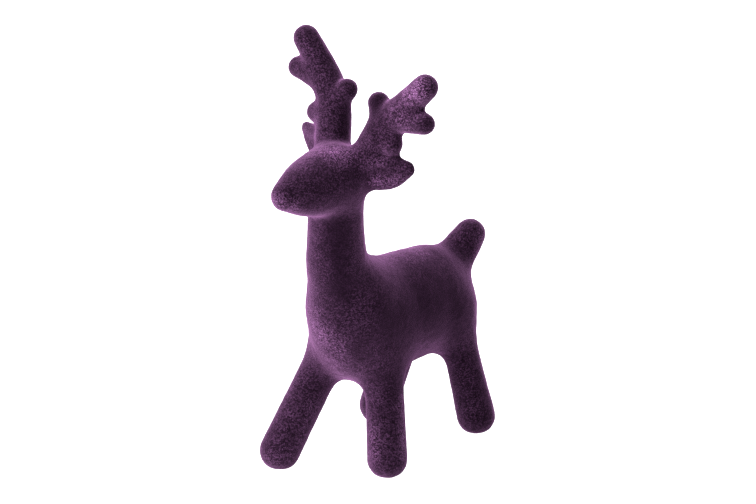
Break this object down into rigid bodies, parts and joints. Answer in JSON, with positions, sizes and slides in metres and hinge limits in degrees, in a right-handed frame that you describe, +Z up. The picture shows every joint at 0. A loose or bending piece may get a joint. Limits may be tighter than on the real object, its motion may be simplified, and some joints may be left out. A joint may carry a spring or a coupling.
{
  "type": "reindeer figurine",
  "caption": "Small standing reindeer ornament: smooth stylised cast body with stubby branched antlers, leaf ears and short tail, covered all over in dark purple velvet flock.",
  "frame": {"origin": "on the ground, in the middle of the object's box", "axes": "+Z up, the animal faces -Y, its left side is +X"},
  "size_m": [0.0868, 0.1312, 0.1999],
  "materials": {
    "flock": "short dense dark purple velvet flock, matt face on, with a paler pinkish sheen where the surface turns away"
  },
  "bodies": {
    "root": {"reindeer": "flock"}
  },
  "joints": []
}
